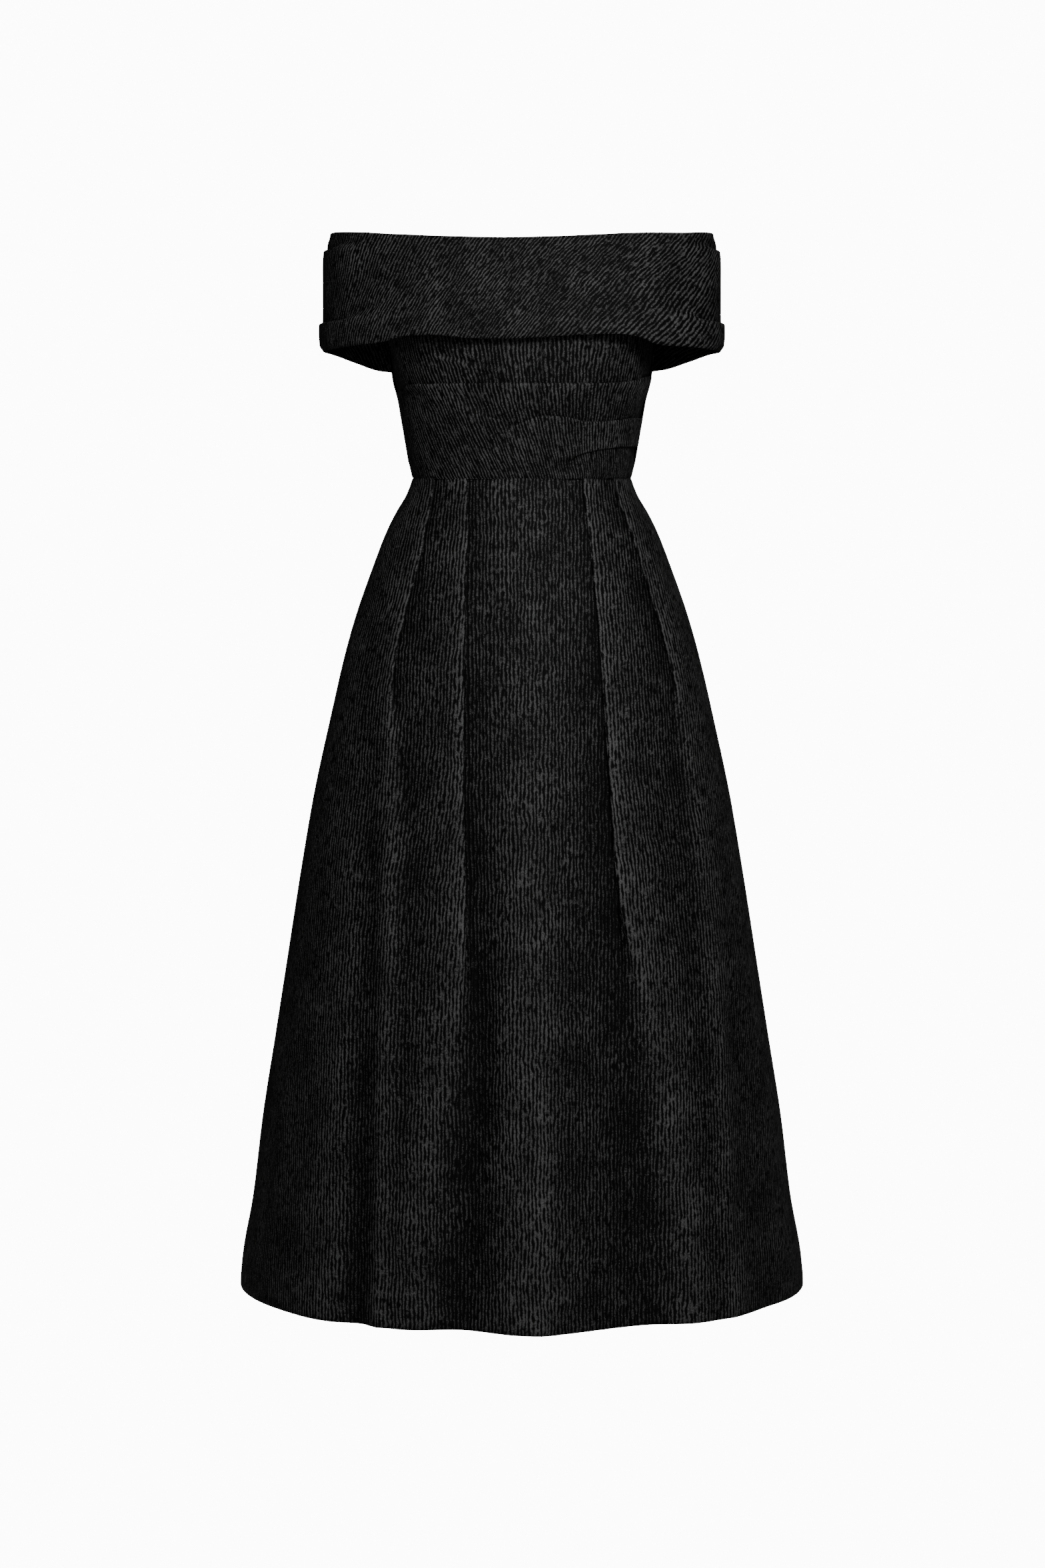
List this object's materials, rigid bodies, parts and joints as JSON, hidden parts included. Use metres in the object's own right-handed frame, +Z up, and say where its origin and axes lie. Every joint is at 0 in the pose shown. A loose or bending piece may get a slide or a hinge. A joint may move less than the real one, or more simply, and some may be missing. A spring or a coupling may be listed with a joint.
{
  "type": "off-shoulder dress",
  "caption": "Off-shoulder midi dress in its worn shape: a wide folded band round the shoulders, a tucked bodice and a flared skirt with soft knife pleats.",
  "frame": {"origin": "centre of the waist seam's plane, on the body's axis", "axes": "+Z up along the body, the front faces -Y, +X towards the wearer's left"},
  "size_m": [0.6144, 0.505, 1.1317],
  "materials": {
    "cloth": "black crinkled cloth with broken upright ridges",
    "band_cloth": "the same black crinkled cloth, folded double and cut on the slant",
    "zip_tape": "plain woven black tape"
  },
  "bodies": {
    "root": {"skirt_front": "cloth", "skirt_back_left": "cloth", "skirt_back_right": "cloth", "bodice_front": "cloth", "bodice_back_left": "cloth", "bodice_back_right": "cloth", "collar_front": "band_cloth", "collar_back": "band_cloth", "back_zip": "zip_tape"}
  },
  "joints": []
}
